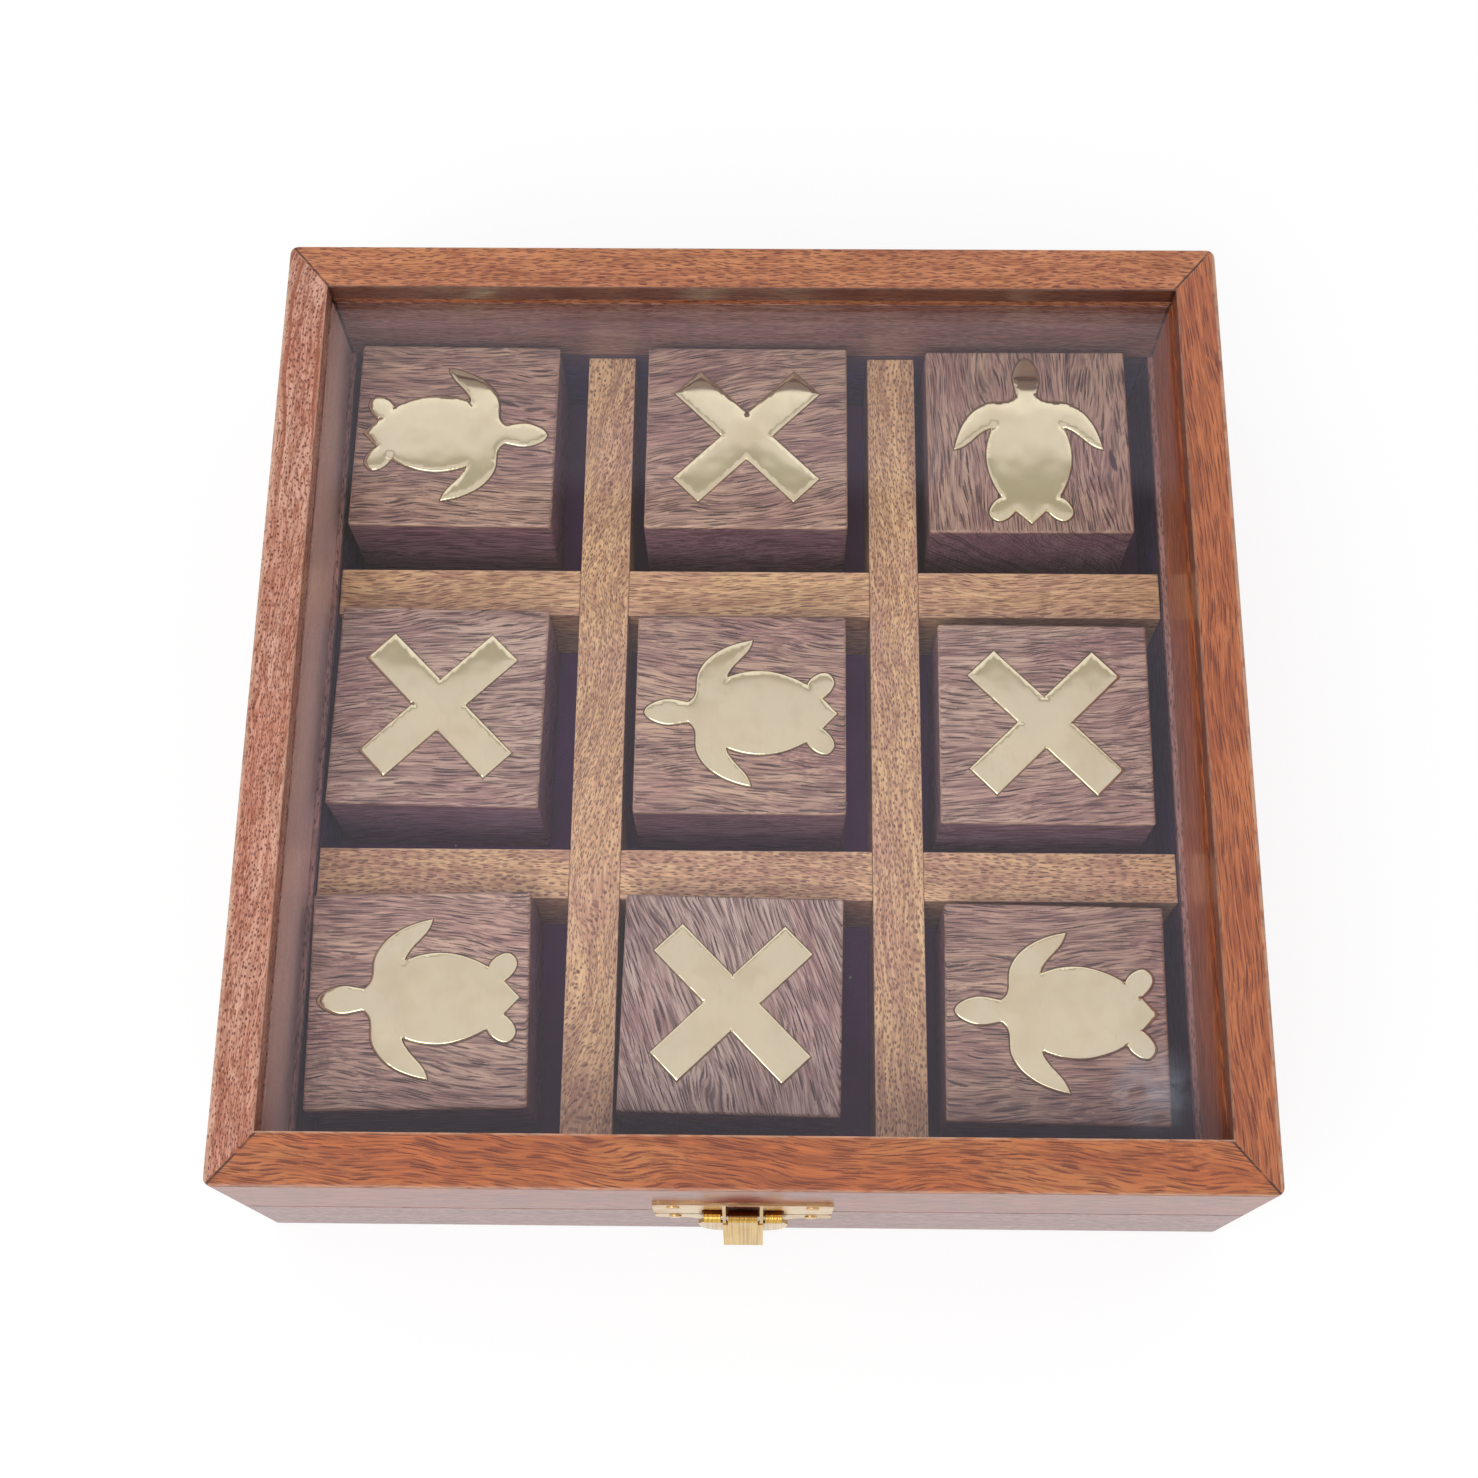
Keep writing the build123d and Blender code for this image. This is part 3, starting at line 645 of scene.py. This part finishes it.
def pillow_points(corners, rings, spacing):
    """Points inside an outline: rows that follow the edge, then an even triangular grid."""
    points = []
    for ring in rings:
        for a, b in zip(corners, corners[1:] + corners[:1]):
            run = b - a
            inward = Vector((-run.y, run.x)).normalized() * ring
            count = max(1, round(run.length / (0.25 * MM + ring * 0.5)))
            for step in range(count):
                point = a + run * ((step + 0.5) / count) + inward
                if depth_inside(point, corners) > 0.96 * ring:
                    points.append(point)
    low = Vector((min(c.x for c in corners), min(c.y for c in corners)))
    high = Vector((max(c.x for c in corners), max(c.y for c in corners)))
    row_height = spacing * math.sqrt(0.75)
    for row in range(int((high.y - low.y) / row_height) + 1):
        for column in range(int((high.x - low.x) / spacing) + 1):
            point = low + Vector(((column + 0.5 * (row % 2)) * spacing, row * row_height))
            if depth_inside(point, corners) > rings[-1] + 0.45 * spacing:
                points.append(point)
    return points


def piece_of(shape, name, material):
    """A piece from a closed bmesh, which is freed."""
    bmesh.ops.recalc_face_normals(shape, faces=shape.faces)
    mesh = bpy.data.meshes.new(name)
    shape.to_mesh(mesh)
    shape.free()
    piece = bpy.data.objects.new(name, mesh)
    bpy.context.scene.collection.objects.link(piece)
    mesh.materials.append(material)
    return piece


class GAMEBOX_OT_emblems(bpy.types.Operator):
    """Turtles and crosses of polished pale brass, with rounded rims and a slight crown"""
    bl_idname = "game_box.emblems"
    bl_label = "Brass emblems"

    def execute(self, context):
        metals = look("metal")
        brass = metal("polished_brass", metals.emblem, metals.emblem_roughness, (2.0, 0.6, 1.0),
                      0.0015 * MM, tarnish=0.22, wave=0.055 * MM)
        # Painted shadow line round each emblem, laid on the wood as a thin dark strip
        g = Graph("dark_filler", Roughness=0.5)
        shadow_tones = rgba((0.030, 0.014, 0.012)), rgba((0.10, 0.05, 0.04))
        g.set(Base_Color=g.mix(g.noise(g.place, 1.2 / MM), *shadow_tones))
        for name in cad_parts:
            if name.startswith(("turtle_", "cross_")):
                corners = outline_of(name)
                self.pillow(name, corners, brass)
                self.painted_shadow_line(name, corners, g.material)
        return {"FINISHED"}

    def painted_shadow_line(self, name, corners, material):
        """Painted shadow: a thin dark line between the wood and the brass."""
        place = name.split("_", 1)[1]
        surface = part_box("block_" + place)[1].z
        shape = bmesh.new()
        rings = []
        for before, here, after in zip(corners[-1:] + corners[:-1], corners, corners[1:] + corners[:1]):
            run = (here - before).normalized() + (after - here).normalized()
            outward = Vector((run.y, -run.x)).normalized()
            spots = [(*(here + outward * aside * MM), surface + rise * MM) for aside, rise in SHADOW_LINE_SECTION]
            rings.append([shape.verts.new(spot) for spot in spots])
        for ring, following in zip(rings, rings[1:] + rings[:1]):
            for step in range(len(ring)):
                other = (step + 1) % len(ring)
                shape.faces.new((ring[step], following[step], following[other], ring[other]))
        piece = piece_of(shape, name + "_filler", material)
        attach(piece, "piece_" + place)

    def pillow(self, name, corners, material):
        """Emblem with a rounded rim, a crown inside it and a slight dome over all."""
        metals = look("metal")
        low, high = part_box(name)
        middle = (low + high) / 2
        inner = pillow_points(corners, [metals.rim * share for share in (0.15, 0.4, 0.7, 1.0)], 0.6 * MM)
        count = len(corners)
        edges = [(index, (index + 1) % count) for index in range(count)]
        plan, _, faces, *_ = delaunay_2d_cdt([*corners, *inner], edges, [], 1, 1e-7)
        shape = bmesh.new()
        top = []
        for point in plan:
            depth = max(0.0, depth_inside(point, corners))
            roll = 1.0 - min(1.0, depth / metals.rim)
            rise = 1.0 - min(1.0, depth / metals.crown_reach)
            drop = metals.rim_drop * (1.0 - math.sqrt(1.0 - roll * roll)) + metals.crown * rise * rise
            drop += (point - middle.xy).length_squared / (2 * metals.dome)
            top.append(shape.verts.new((point.x, point.y, high.z + metals.crown - drop)))
        for face in faces:
            shape.faces.new([top[index] for index in face])
        rim = [edge for edge in shape.edges if edge.is_boundary]
        grown = bmesh.ops.extrude_edge_only(shape, edges=rim)["geom"]
        for vertex in grown:
            if isinstance(vertex, bmesh.types.BMVert):
                vertex.co.z = low.z
        bmesh.ops.contextual_create(shape, geom=[edge for edge in shape.edges if edge.is_boundary])
        piece = piece_of(shape, name + "_brass", material)
        bpy.ops.object.select_all(action="DESELECT")
        bpy.context.view_layer.objects.active = piece
        piece.select_set(True)
        bpy.ops.object.shade_smooth_by_angle(angle=math.radians(60.0))
        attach(piece, "piece_" + name.split("_", 1)[1])
        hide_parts(name)


class GAMEBOX_OT_latch(bpy.types.Operator):
    """Bright brass on the stamped latch, its nails and its wire pin"""
    bl_idname = "game_box.latch"
    bl_label = "Latch"

    def execute(self, context):
        metals = look("metal")
        plates = metal("latch_plate_brass", metals.latch, 0.26, (0.5, 1.0, 4.0), 0.006 * MM, 0.45,
                       ridges=(0.3, 1.6, 1.6), lined=0.22)
        finish_nodes(["latch_lid_plate", "latch_base_plate", "latch_lid_nails", "latch_base_nails"], plates)
        gold = metal("latch_flap_brass", metals.flap, 0.20, (3.0, 0.3, 0.3), 0.01 * MM, 0.3,
                     ridges=(4.5, 0.04, 0.04), shaded=(-78.7 * MM, -77.9 * MM))
        finish_nodes(["latch_flap"], gold)
        finish_nodes(["latch_pin"], metal("pin_steel", metals.steel, 0.3))
        return {"FINISHED"}


class GAMEBOX_OT_hinges(bpy.types.Operator):
    """Plain brass on the two butt hinges and their screws"""
    bl_idname = "game_box.hinges"
    bl_label = "Hinges"

    def execute(self, context):
        metals = look("metal")
        brass = metal("hinge_brass", metals.hinge, 0.27, (0.4, 1.0, 2.0), 0.006 * MM, 0.3)
        names = [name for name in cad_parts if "hinge" in name and not name.endswith("_pin")]
        finish_nodes(names, brass)
        finish_nodes(["left_hinge_pin", "right_hinge_pin"], metal("hinge_pin_steel", metals.steel, 0.3))
        return {"FINISHED"}


# Glass

class GAMEBOX_OT_glass(bpy.types.Operator):
    """Clear glass in the lid, which lets the lamps through, with a faint smear"""
    bl_idname = "game_box.glass"
    bl_label = "Glass pane"

    def execute(self, context):
        tint = rgba(look("glass").tint)
        g = Graph("clear_glass", Base_Color=tint, Transmission_Weight=1.0, IOR=1.45, Roughness=0.0)
        ray = g.add("ShaderNodeLightPath").outputs["Is Shadow Ray"]
        through = g.add("ShaderNodeBsdfTransparent", {"Color": tint}).outputs[0]
        both = g.add("ShaderNodeMixShader", {0: ray, 1: g.shader.outputs[0], 2: through}).outputs[0]
        apart = g.vector("DISTANCE", g.place, SMEAR, output="Value")
        near = g.step(apart, 1.0 * MM, 8.0 * MM, 0.11, 0.0)
        near = g.math("MULTIPLY", near, g.step(g.noise(g.place, 0.30 / MM, 3.0), 0.36, 0.62))
        dusty = g.add("ShaderNodeBsdfDiffuse", {"Color": (0.66, 0.72, 0.86, 1.0)}).outputs[0]
        smeared = g.add("ShaderNodeMixShader", {0: near, 1: both, 2: dusty}).outputs[0]
        g.fill(g.nodes["Material Output"], {"Surface": smeared})
        finish_nodes(["glass_pane"], g.material)
        return {"FINISHED"}


# Velvet

def velvet_material():
    """Short dark pile, brushed here and there, with a few pale flecks of lint."""
    soft = look("soft")
    g = Graph("dark_velvet", Specular_IOR_Level=0.15, Sheen_Weight=0.55, Sheen_Roughness=0.35)
    g.set(Sheen_Tint=rgba(soft.sheen), Roughness=0.9)
    brushed = g.noise(g.stretch(g.place, (1.0, 0.6, 1.0)), 60.0, 3.0)
    pile = g.noise(g.place, 4.5 / MM, 2.0)
    tone = g.mix(g.step(brushed, 0.35, 0.7), rgba(soft.velvet), rgba(soft.velvet, 1.7))
    # Painted sheen: specks of the sheen colour in the base colour, where the pile's tips catch light
    tone = g.mix(g.step(pile, 0.45, 0.75, 0.0, 0.5), tone, rgba(soft.sheen, 0.25))
    flecks = g.add("ShaderNodeTexVoronoi", {"Vector": g.place, "Scale": 170.0, "Randomness": 1.0})
    lint = g.step(flecks.outputs["Distance"], 0.018, 0.05, 1.0, 0.0)
    tone = g.mix(g.math("MULTIPLY", lint, 0.7), tone, (0.5, 0.5, 0.55, 1.0))
    g.set(Base_Color=tone, Normal=g.bump(pile, 0.12 * MM, 0.7))
    return g.material


class GAMEBOX_OT_velvet(bpy.types.Operator):
    """Sheet of velvet laid over the board, a little raised between the blocks"""
    bl_idname = "game_box.velvet"
    bl_label = "Velvet lining"

    def execute(self, context):
        low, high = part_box("velvet_lining")
        width, length, thickness = high - low
        middle = (low + high) / 2
        pile_top = high.z
        bpy.ops.object.select_all(action="DESELECT")
        origin = (0.0, 0.0, 0.0)
        bpy.ops.mesh.primitive_grid_add(x_subdivisions=90, y_subdivisions=90, size=1.0, location=origin)
        cloth = context.object
        cloth.name = "velvet_sheet"
        ripple = look("soft").ripple
        turns = math.tau / 0.021
        for vertex in cloth.data.vertices:
            x = middle.x + vertex.co.x * width
            y = middle.y + vertex.co.y * length
            inwards = min(width / 2 - abs(x - middle.x), length / 2 - abs(y - middle.y))
            edge = min(1.0, inwards / (4 * MM))
            wave = math.sin(turns * x + 3.0 * math.sin(31.0 * y)) * math.sin(turns * 0.8 * y + 1.3)
            vertex.co = (x, y, pile_top + ripple * wave * max(0.0, edge) * 0.5)
        solid = cloth.modifiers.new("thickness", "SOLIDIFY")
        solid.thickness = thickness - ripple
        solid.offset = -1.0
        bpy.ops.object.modifier_apply(modifier=solid.name)
        bpy.ops.object.shade_smooth_by_angle(angle=math.radians(40.0))
        cloth.data.materials.append(velvet_material())
        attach(cloth, "base")
        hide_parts("velvet_lining")
        return {"FINISHED"}


# Stage

def white_to_the_eye(nodes, links, lit, shown):
    """Mixes a lit shader with one that the camera, glossy and transmitted rays see."""
    path = nodes.new("ShaderNodeLightPath")
    seen = path.outputs["Is Camera Ray"]
    for other in ("Is Glossy Ray", "Is Transmission Ray"):
        either = nodes.new("ShaderNodeMath")
        either.operation = "MAXIMUM"
        links.new(seen, either.inputs[0])
        links.new(path.outputs[other], either.inputs[1])
        seen = either.outputs[0]
    mixed = nodes.new("ShaderNodeMixShader")
    links.new(seen, mixed.inputs[0])
    links.new(lit, mixed.inputs[1])
    links.new(shown, mixed.inputs[2])
    return mixed.outputs[0]


class GAMEBOX_OT_stage(bpy.types.Operator):
    """Pale floor, soft white surround, one large lamp and the camera"""
    bl_idname = "game_box.stage"
    bl_label = "Stage"

    def execute(self, context):
        scene = context.scene
        scene.view_settings.view_transform = "Standard"
        self.surround(scene)
        self.floor()
        self.lamps()
        self.camera(scene)
        return {"FINISHED"}

    def surround(self, scene):
        """Even white light, and the room that polished metal and glass mirror."""
        world = bpy.data.worlds.new("white_surround")
        world.use_nodes = True
        nodes, links = world.node_tree.nodes, world.node_tree.links
        lit = nodes["Background"]
        lit.inputs["Color"].default_value = rgba(PLAIN)
        lit.inputs["Strength"].default_value = look("stage").surround
        shown = nodes.new("ShaderNodeBackground")
        way = nodes.new("ShaderNodeSeparateXYZ")
        links.new(nodes.new("ShaderNodeTexCoord").outputs["Generated"], way.inputs[0])
        slope = nodes.new("ShaderNodeMath")
        slope.operation = "DIVIDE"
        links.new(way.outputs["Y"], slope.inputs[0])
        links.new(way.outputs["Z"], slope.inputs[1])
        stage = look("stage")
        near_end = blended(stage.ceiling, stage.ceiling_bright, 0.28)
        above = self.ramp(nodes, (
            (0.410, stage.ceiling), (0.430, stage.ceiling_dark), (0.488, stage.ceiling_dark),
            (0.505, near_end), (0.550, near_end), (0.60, stage.ceiling_bright)))
        links.new(slope.outputs[0], above.inputs[0])
        low_down = self.ramp(nodes, ((0.45, PLAIN), (0.82, (0.0, 0.0, 0.0))))
        links.new(way.outputs["Z"], low_down.inputs[0])
        sky = nodes.new("ShaderNodeMix")
        sky.data_type = "RGBA"
        links.new(low_down.outputs[0], sky.inputs[0])
        links.new(above.outputs[0], sky.inputs[6])
        sky.inputs[7].default_value = rgba(PLAIN)
        links.new(sky.outputs[2], shown.inputs["Color"])
        mixed = white_to_the_eye(nodes, links, lit.outputs[0], shown.outputs[0])
        links.new(mixed, nodes["World Output"].inputs["Surface"])
        scene.world = world

    def ramp(self, nodes, stops):
        """A colour ramp through stops of position and colour."""
        ramp = nodes.new("ShaderNodeValToRGB")
        elements = ramp.color_ramp.elements
        while len(elements) < len(stops):
            elements.new(1.0)
        for element, (position, tone) in zip(elements, stops):
            element.position = position
            element.color = rgba(tone)
        return ramp

    def floor(self):
        """White to the eye, and still shaded near the case."""
        bpy.ops.object.select_all(action="DESELECT")
        bpy.ops.mesh.primitive_plane_add(size=6.0, location=(0.0, 0.0, -0.05 * MM))
        floor = bpy.context.object
        floor.name = "pale_floor"
        g = Graph("pale_floor", Base_Color=rgba(look("stage").floor), Roughness=0.9)
        speckle = g.noise(g.place, 900.0, 2.0)
        g.set(Normal=g.bump(speckle, 0.02 * MM, 0.2))
        glow = g.add("ShaderNodeEmission", {"Color": rgba(PLAIN), "Strength": 1.1}).outputs[0]
        softened = g.add("ShaderNodeMixShader", {0: 0.72, 1: g.shader.outputs[0], 2: glow}).outputs[0]
        mixed = white_to_the_eye(g.nodes, g.links, g.shader.outputs[0], softened)
        g.fill(g.nodes["Material Output"], {"Surface": mixed})
        floor.data.materials.append(g.material)

    def lamps(self):
        """One large soft lamp, in front and to the left."""
        lamp = bpy.data.lights.new("front_softbox", "AREA")
        lamp.shape = "RECTANGLE"
        lamp.size = 0.5
        lamp.size_y = 0.4
        lamp.energy = look("stage").key_power
        holder = bpy.data.objects.new("front_softbox", lamp)
        holder.location = (-0.22, -0.42, 0.62)
        holder.rotation_mode = "QUATERNION"
        holder.rotation_quaternion = (-holder.location).to_track_quat("-Z", "Y")
        bpy.context.scene.collection.objects.link(holder)

    def camera(self, scene):
        """Camera at the photograph's place."""
        pitch, yaw, roll = (math.radians(angle) for angle in (CAMERA_PITCH, CAMERA_YAW, CAMERA_ROLL))
        ahead = Vector((math.sin(yaw) * math.cos(pitch), math.cos(yaw) * math.cos(pitch), -math.sin(pitch)))
        level = Vector((math.cos(yaw), -math.sin(yaw), 0.0))
        raised = level.cross(ahead)
        right = math.cos(roll) * level + math.sin(roll) * raised
        up = math.cos(roll) * raised - math.sin(roll) * level
        lens = bpy.data.cameras.new("photo_camera")
        lens.lens = CAMERA_LENS
        lens.sensor_width = 36.0
        lens.clip_start = 0.01
        camera = bpy.data.objects.new("photo_camera", lens)
        facing = Matrix((right, up, -ahead)).transposed().to_4x4()
        camera.matrix_world = Matrix.Translation(CAMERA_PLACE) @ facing
        scene.collection.objects.link(camera)
        scene.camera = camera


OPERATORS = (
    GAMEBOX_OT_stage, GAMEBOX_OT_case, GAMEBOX_OT_lid, GAMEBOX_OT_slats, GAMEBOX_OT_blocks,
    GAMEBOX_OT_emblems, GAMEBOX_OT_latch, GAMEBOX_OT_hinges, GAMEBOX_OT_glass, GAMEBOX_OT_velvet,
)


class GAMEBOX_PT_panel(bpy.types.Panel):
    """Lists the finishing steps and their settings"""
    bl_idname = "GAMEBOX_PT_panel"
    bl_label = "Game Box"
    bl_space_type = "VIEW_3D"
    bl_region_type = "UI"
    bl_category = "Game Box"

    def draw(self, context):
        for operator in OPERATORS:
            self.layout.operator(operator.bl_idname)
        for group, settings in LOOKS.items():
            box = self.layout.box()
            box.label(text=settings.__doc__)
            for key in settings.__annotations__:
                box.prop(look(group), key)


CLASSES = (*LOOKS.values(), *OPERATORS, GAMEBOX_PT_panel)


def register():
    for kind in CLASSES:
        bpy.utils.register_class(kind)
    for group, settings in LOOKS.items():
        setattr(bpy.types.Scene, "game_box_" + group, bpy.props.PointerProperty(type=settings))


def unregister():
    for group in LOOKS:
        delattr(bpy.types.Scene, "game_box_" + group)
    for kind in reversed(CLASSES):
        bpy.utils.unregister_class(kind)


def main():
    register()
    for operator in OPERATORS:
        group, step = operator.bl_idname.split(".")
        getattr(getattr(bpy.ops, group), step)()


if __name__ == "__main__":
    main()
